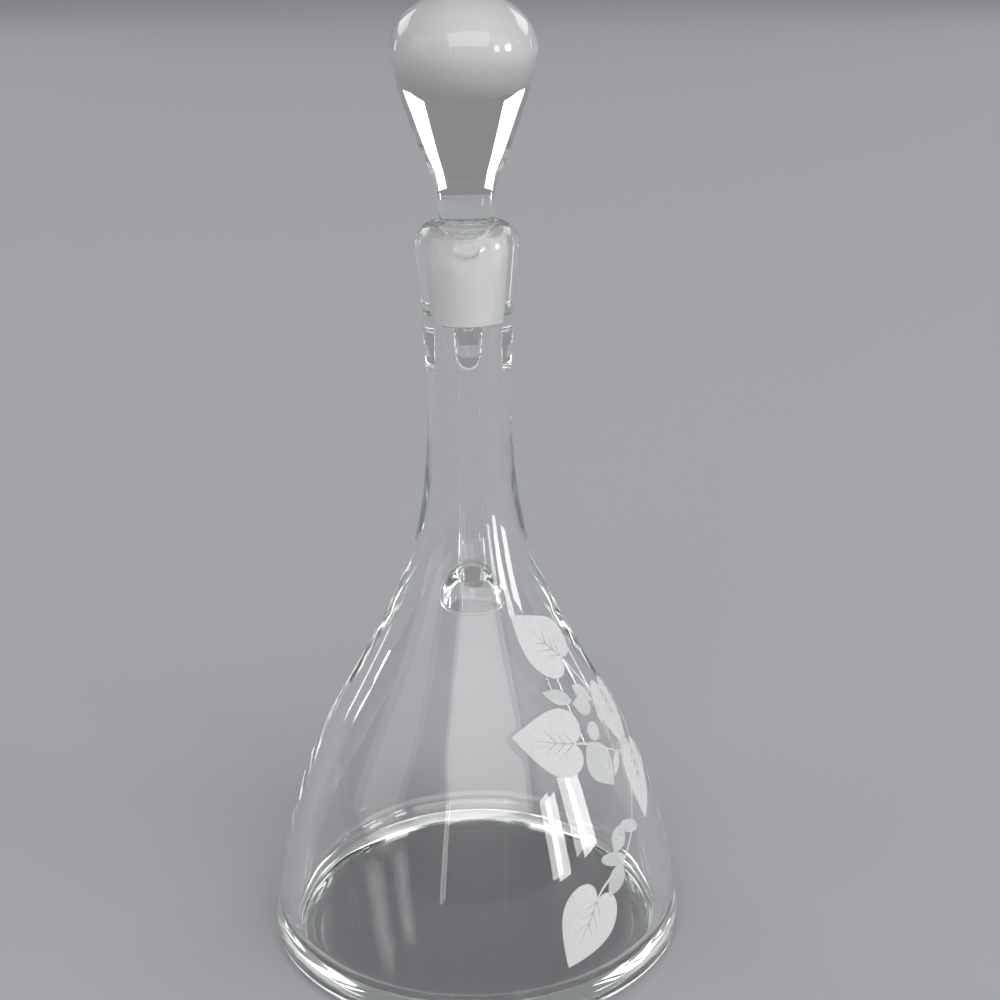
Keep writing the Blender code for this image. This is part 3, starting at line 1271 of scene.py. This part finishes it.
@dataclass
class IvyVine:
    """The etched vine on the body's front right side, in places of angle and height."""

    vessel: Vessel
    leaves: tuple[Leaf, ...] = (
        Leaf("upper_leaf", LeafShape.HEART, (57.5, 0.1080), (32.0, 0.1255), 0.0105, True, True),
        Leaf("middle_leaf", LeafShape.HEART, (43.5, 0.0840), (17.0, 0.0905), 0.0115, True, True),
        Leaf("side_leaf", LeafShape.HEART, (80.0, 0.0915), (72.5, 0.0715), 0.0098, True, True),
        Leaf("far_leaf", LeafShape.HEART, (78.5, 0.0705), (67.0, 0.0495), 0.0098, True, True),
        Leaf("low_leaf", LeafShape.HEART, (36.5, 0.0370), (24.5, 0.0180), 0.0110, True, True),
        Leaf("shaded_leaf", LeafShape.BLADE, (50.0, 0.0825), (56.0, 0.0665), 0.0066, False),
        Leaf("small_leaf_1", LeafShape.BLADE, (56.0, 0.0990), (66.5, 0.0915), 0.0026, False),
        Leaf("small_leaf_2", LeafShape.BLADE, (51.5, 0.0952), (36.0, 0.1010), 0.0026, False),
        Leaf("small_leaf_3", LeafShape.BLADE, (62.5, 0.0905), (51.5, 0.0945), 0.0036, False),
        Leaf("thin_leaf_1", LeafShape.BLADE, (66.0, 0.0750), (57.5, 0.0690), 0.0017, True),
        Leaf("thin_leaf_2", LeafShape.BLADE, (67.5, 0.0905), (64.0, 0.0840), 0.0014, False),
        Leaf("low_small_leaf", LeafShape.BLADE, (49.0, 0.0440), (40.5, 0.0358), 0.0034, False),
        Leaf("low_shaded_leaf", LeafShape.BLADE, (53.0, 0.0548), (46.0, 0.0480), 0.0034, False),
        Leaf("berry_1", LeafShape.BERRY, (58.5, 0.0868), (54.0, 0.0820), 0.0031, False),
        Leaf("berry_2", LeafShape.BERRY, (40.5, 0.0482), (50.5, 0.0448), 0.0022, False),
        Leaf("berry_3", LeafShape.BERRY, (52.0, 0.0550), (61.0, 0.0508), 0.0022, False),
    )
    stems: tuple[tuple[Point, ...], ...] = (
        ((58.0, 0.1080), (61.0, 0.1045), (65.5, 0.0990), (70.0, 0.0920), (72.0, 0.0850),
         (73.0, 0.0780), (74.0, 0.0720)),
        ((43.5, 0.0840), (50.0, 0.0822), (58.0, 0.0785), (66.0, 0.0745), (74.0, 0.0718)),
        ((36.5, 0.0370), (39.0, 0.0395), (43.5, 0.0420), (49.0, 0.0442), (56.0, 0.0500),
         (62.0, 0.0580), (68.0, 0.0660), (74.0, 0.0718)),
        ((80.0, 0.0920), (77.0, 0.0880), (73.0, 0.0800)),
    )
    midrib_shares: tuple[Point, ...] = (
        (0.02, 0.0), (0.24, 0.01), (0.45, 0.0), (0.66, -0.01),
    )
    side_vein_shares: tuple[Point, ...] = ((0.03, 0.34), (0.18, 0.38), (0.33, 0.34))
    side_vein_bend_shares: Point = (0.09, 0.46)
    side_vein_run_share: float = 0.19
    heart_centre_share: float = 0.36
    other_centre_share: float = 0.48
    stem_half_width: float = 0.00042
    vein_half_width: float = 0.00028
    stroke_end_share: float = 0.25
    stroke_start_share: float = 0.22
    film: float = 0.00008
    stand: float = 0.00006
    vein_stand_share: float = 1.5
    rings: int = 6
    edge_samples: int = 8
    stem_samples: int = 6
    vein_samples: int = 5

    def on_glass(self, origin: Point, right: float, up: float, stand: float) -> Vector:
        """Lay a flat drawing's point on the body.

        Args:
            origin: Angle in degrees from the front, and height, of the drawing's origin.
            right: Distance round the body from there.
            up: Distance up the slope from there.
            stand: How far off the glass the point lies.

        Returns:
            The place in the frame.
        """
        normal = self.vessel.outward(origin[1])
        height = origin[1] + up * normal.x
        radius = self.vessel.radius(height)
        angle = math.radians(origin[0]) + right / radius
        away = self.vessel.outward(height)
        reach = radius + away.x * stand
        return Vector((
            reach * math.sin(angle), -reach * math.cos(angle), height + away.y * stand,
        ))

    def span(self, leaf: Leaf) -> Vector:
        """Measure a leaf.

        Args:
            leaf: The leaf.

        Returns:
            The flat step from its stem to its tip.
        """
        middle = (leaf.stem[1] + leaf.tip[1]) / 2
        right = math.radians(leaf.tip[0] - leaf.stem[0]) * self.vessel.radius(middle)
        return Vector((right, (leaf.tip[1] - leaf.stem[1]) / self.vessel.outward(middle).x))

    def leaf_place(self, leaf: Leaf, along: float, across: float, stand: float) -> Vector:
        """Find the place of a leaf's own point.

        Args:
            leaf: The leaf.
            along: The point's share of the leaf's length.
            across: Its share of the leaf's half width.
            stand: How far off the glass it lies.

        Returns:
            The place in the frame.
        """
        span = self.span(leaf)
        side = Vector((-span.y, span.x)).normalized() * leaf.half_width
        flat = span * along + side * across
        return self.on_glass(leaf.stem, flat.x, flat.y, stand)

    def blade(self, leaf: Leaf) -> bpy.types.Object:
        """Build one leaf as a thin film on the glass.

        Args:
            leaf: The leaf to build.

        Returns:
            The closed film.
        """
        half = smooth_line(leaf.shape.value, self.edge_samples)
        edge = half + [(along, -across) for along, across in reversed(half[1:-1])]
        is_heart = leaf.shape is LeafShape.HEART
        centre = self.heart_centre_share if is_heart else self.other_centre_share
        item = started(
            leaf.name, bpy.ops.mesh.primitive_circle_add,
            vertices=len(edge), radius=1, fill_type="NGON",
        )
        for _ in range(self.rings - 1):
            bpy.ops.mesh.inset(thickness=1 / self.rings, use_even_offset=False)
        bpy.ops.mesh.poke()
        bpy.ops.object.mode_set(mode="OBJECT")
        for vertex in item.data.vertices:
            share = vertex.co.xy.length
            turn = math.atan2(vertex.co.y, vertex.co.x) % math.tau / math.tau
            along, across = edge[round(turn * len(edge)) % len(edge)]
            vertex.co = self.leaf_place(
                leaf, centre + (along - centre) * share, across * share, self.stand,
            )
        self.thicken(item)
        return item

    def thicken(self, item: bpy.types.Object) -> None:
        """Give an open film its thickness, outwards from the body.

        Args:
            item: The film, which is active.
        """
        into_edit_mode()
        closed_and_outward()
        face = item.data.polygons[0]
        if face.normal.xy.dot(face.center.xy) < 0:
            turned_over()
        applied(item, "SOLIDIFY", thickness=self.film, offset=1.0)

    def stroke(
        self, name: str, places: Sequence[Callable[[float], Vector]], half_width: float,
    ) -> bpy.types.Object:
        """Cut one tapered stroke, drawn out from a straight strip of squares.

        Args:
            name: The new piece's name.
            places: One function for each point, which gives the place at a distance beside it.
            half_width: Half the stroke's greatest width.

        Returns:
            The closed film.
        """
        square = 2
        item = started(name, bpy.ops.mesh.primitive_plane_add, size=square)
        bpy.ops.transform.translate(value=(0, square / 2, 0))
        bpy.ops.mesh.select_all(action="DESELECT")
        bpy.ops.object.mode_set(mode="OBJECT")
        for vertex in item.data.vertices:
            vertex.select = vertex.co.y > square / 2
        for edge in item.data.edges:
            edge.select = all(item.data.vertices[index].select for index in edge.vertices)
        bpy.ops.object.mode_set(mode="EDIT")
        bpy.ops.mesh.select_mode(type="VERT")
        for _ in range(len(places) - 2):
            bpy.ops.mesh.extrude_region_move(TRANSFORM_OT_translate={"value": (0, square, 0)})
        bpy.ops.object.mode_set(mode="OBJECT")
        last = len(places) - 1
        for vertex in item.data.vertices:
            index = round(vertex.co.y / square)
            swell = math.sin(math.pi * min(index / last + self.stroke_start_share, 1))
            taper = self.stroke_end_share + (1 - self.stroke_end_share) * swell
            vertex.co = places[index](vertex.co.x * half_width * taper)
        self.thicken(item)
        return item

    def stem(self, name: str, line: Sequence[Point]) -> bpy.types.Object:
        """Cut one stem.

        Args:
            name: The new piece's name.
            line: Places of angle and height that it passes through.

        Returns:
            The closed film.
        """
        places = []
        for behind, point, ahead in neighbours(smooth_line(line, self.stem_samples)):
            run = Vector((
                math.radians(ahead[0] - behind[0]) * self.vessel.radius(point[1]),
                ahead[1] - behind[1],
            )).normalized()
            places.append(
                lambda beside, point=point, run=run: self.on_glass(
                    point, -run.y * beside, run.x * beside, self.stand,
                )
            )
        return self.stroke(name, places, self.stem_half_width)

    def leaf_veins(self, leaf: Leaf) -> list[bpy.types.Object]:
        """Cut a leaf's midrib and its side veins.

        Args:
            leaf: The leaf.

        Returns:
            The closed films.
        """
        ribs = [self.midrib_shares]
        bend_run, bend_reach = self.side_vein_bend_shares
        for start, reach in self.side_vein_shares:
            for side in (-1, 1):
                ribs.append((
                    (start, 0.0),
                    (start + bend_run, side * reach * bend_reach),
                    (start + self.side_vein_run_share, side * reach),
                ))
        veins = []
        length = self.span(leaf).length
        for number, rib in enumerate(ribs):
            places = []
            for behind, point, ahead in neighbours(smooth_line(rib, self.vein_samples)):
                run = Vector((
                    (ahead[0] - behind[0]) * length, (ahead[1] - behind[1]) * leaf.half_width,
                )).normalized()
                places.append(
                    lambda beside, point=point, run=run: self.leaf_place(
                        leaf,
                        point[0] - run.y * beside / length,
                        point[1] + run.x * beside / leaf.half_width,
                        self.stand + self.film * self.vein_stand_share,
                    )
                )
            veins.append(self.stroke(f"{leaf.name}_vein_{number}", places, self.vein_half_width))
        return veins

    def build(self) -> list[bpy.types.Object]:
        """Build the leaves, the stems and the veins, and set them in the frame.

        Returns:
            The vine's pieces.
        """
        strong = EtchedFrost().material()
        faint = EtchedFrost("etched_shade", colour=(0.84, 0.86, 0.86), cover=0.42).material()
        cut = EtchedFrost("etched_line", colour=(0.66, 0.68, 0.68), cover=0.50).material()
        pieces = []
        veins: list[bpy.types.Object] = []
        for leaf in self.leaves:
            item = self.blade(leaf)
            item.data.materials.append(strong if leaf.strong else faint)
            pieces.append(item)
            if leaf.veins:
                veins += self.leaf_veins(leaf)
        stems = [self.stem(f"stem_{number}", line) for number, line in enumerate(self.stems)]
        pieces.append(named(joined(stems[0], stems[1:]), "vine_stems"))
        pieces[-1].data.materials.append(strong)
        pieces.append(named(joined(veins[0], veins[1:]), "vine_veins"))
        pieces[-1].data.materials.append(cut)
        for item in pieces:
            shaded_smooth(item, FILM_SMOOTH_ANGLE)
            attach(item, "decanter")
        return pieces


# Studio

@dataclass(frozen=True)
class SoftBox:
    """One soft lamp of the studio, aimed at the middle of the decanter."""

    name: str
    azimuth: float
    distance: float
    height: float
    size: Point
    brightness: float
    aim: Triple = (0, 0, 0.16)

    def hang(self) -> None:
        """Hang the lamp at its azimuth, measured from the front towards the right."""
        angle = math.radians(self.azimuth)
        place = Vector((
            self.distance * math.sin(angle), -self.distance * math.cos(angle), self.height,
        ))
        bpy.ops.object.light_add(type="AREA", location=place)
        lamp = named(bpy.context.object, self.name)
        lamp.data.shape = "RECTANGLE"
        lamp.data.size, lamp.data.size_y = self.size
        lamp.visible_camera = False
        lamp.data.energy = self.brightness * math.pi * self.size[0] * self.size[1]
        lamp.rotation_euler = (Vector(self.aim) - place).to_track_quat("-Z", "Y").to_euler()


@dataclass
class Studio:
    """A pale floor, soft light and the photograph's camera."""

    floor_size: float = 60.0
    floor_level: float = -0.0002
    floor_colour: Colour = (0.40, 0.405, 0.42)
    floor_roughness: float = 0.9
    floor_shine: float = 0.1
    horizon_colour: Colour = (0.24, 0.245, 0.255)
    ceiling_colour: Colour = (0.82, 0.83, 0.85)
    ceiling_side: Triple = (0.0, -0.48, 0.88)
    ceiling_start: float = 0.46
    ceiling_full: float = 0.90
    soft_boxes: tuple[SoftBox, ...] = (
        SoftBox("back_left", -137, 6.75, 3.30, (3.90, 2.10), 2.4),
        SoftBox("back_right", 137, 6.75, 3.30, (3.90, 2.10), 2.4),
        SoftBox("left_strip", -129, 6.75, 0.67, (0.30, 1.50), 5.0),
        SoftBox("right_strip", 129, 6.75, 0.67, (0.22, 1.50), 5.0),
        SoftBox("front_strip", -20, 6.30, 1.06, (0.15, 2.25), 5.0),
        SoftBox("front_pane", 52.5, 6.30, 0.85, (0.90, 1.83), 13.0),
        SoftBox("right_pane", 72.5, 6.30, 0.88, (1.17, 1.71), 13.0),
        SoftBox("side_strip", 95, 6.75, 1.87, (0.15, 0.63), 13.0),
        SoftBox("front_top", 10, 7.20, 5.02, (9.90, 5.40), 2.3),
        SoftBox("right_fill", 64, 7.20, 3.30, (4.05, 2.70), 0.9),
        SoftBox("left_fill", -72, 7.20, 2.40, (4.50, 4.05), 0.9),
    )
    camera_place: Triple = (0.001623, -0.524208, 0.335258)
    pitch: float = 18.77
    yaw: float = 0.886
    roll: float = 0.599
    focal_length: float = 59.79
    sensor_width: float = 36.0
    clip: Point = (0.01, 200.0)
    light_steps: int = 40

    def build_floor(self) -> None:
        """Lay the floor, wide enough that its far edge stays above the view."""
        bpy.ops.object.select_all(action="DESELECT")
        bpy.ops.mesh.primitive_plane_add(size=self.floor_size, location=(0, 0, self.floor_level))
        floor = named(bpy.context.object, "floor")
        shader = Shader("pale_floor")
        floor.data.materials.append(shader.finish(
            Base_Color=(*self.floor_colour, 1),
            Roughness=self.floor_roughness,
            Specular_IOR_Level=self.floor_shine,
        ))

    def build_light(self) -> None:
        """Set the world's even light, brighter from above in front, and hang the soft boxes."""
        world = bpy.context.scene.world or bpy.data.worlds.new("studio")
        bpy.context.scene.world = world
        world.use_nodes = True
        bench = NodeBench(world.node_tree)
        direction = bench.node("ShaderNodeTexCoord", output="Generated")
        height = bench.node(
            "ShaderNodeVectorMath", {"operation": "DOT_PRODUCT"},
            {0: direction, 1: self.ceiling_side}, "Value",
        )
        rise = bench.node(
            "ShaderNodeMapRange", {"interpolation_type": "SMOOTHSTEP"},
            {"Value": height, "From Min": self.ceiling_start, "From Max": self.ceiling_full},
        )
        background = world.node_tree.nodes["Background"]
        bench.feed(background.inputs["Strength"], 1.0)
        colour = bench.blended(rise, self.horizon_colour, self.ceiling_colour)
        bench.feed(background.inputs["Color"], colour)
        for box in self.soft_boxes:
            box.hang()

    def build_camera(self) -> None:
        """Set up the camera where the photograph was taken from."""
        bpy.ops.object.camera_add(location=self.camera_place)
        camera = named(bpy.context.object, "photo_camera")
        pitch, yaw, roll = map(math.radians, (self.pitch, self.yaw, self.roll))
        ahead = Vector((
            math.sin(yaw) * math.cos(pitch), math.cos(yaw) * math.cos(pitch), -math.sin(pitch),
        ))
        above = Vector((
            math.sin(yaw) * math.sin(pitch), math.cos(yaw) * math.sin(pitch), math.cos(pitch),
        ))
        right = Vector((math.cos(yaw), -math.sin(yaw), 0))
        turned_right = right * math.cos(roll) - above * math.sin(roll)
        turned_above = right * math.sin(roll) + above * math.cos(roll)
        matrix = Matrix((turned_right, turned_above, -ahead)).transposed().to_4x4()
        matrix.translation = Vector(self.camera_place)
        camera.matrix_world = matrix
        camera.data.sensor_width = self.sensor_width
        camera.data.lens = self.focal_length
        camera.data.clip_start, camera.data.clip_end = self.clip
        bpy.context.scene.camera = camera

    def build(self) -> None:
        """Build the floor, the light and the camera, and let light pass through all the glass."""
        self.build_floor()
        self.build_light()
        self.build_camera()
        scene = bpy.context.scene
        scene.view_settings.view_transform = "Standard"
        scene.cycles.max_bounces = scene.cycles.transmission_bounces = self.light_steps
        scene.cycles.glossy_bounces = self.light_steps


def main() -> None:
    """Build the decanter's looks and the studio."""
    logging.basicConfig(level=logging.INFO, format="%(message)s")
    vessel = Vessel()
    glass = BlownGlass().material()
    ground = GroundGlass().material()
    pieces = [FusedGlass(vessel, Handle(vessel)).build(glass, ground)]
    pieces.append(Stopper(vessel).build(BlownGlass("stopper_clear_glass").material(), ground))
    pieces += IvyVine(vessel).build()
    for piece in pieces:
        log.info("%s: %d faces", piece.name, len(piece.data.polygons))
    Studio().build()


if __name__ == "__main__":
    main()
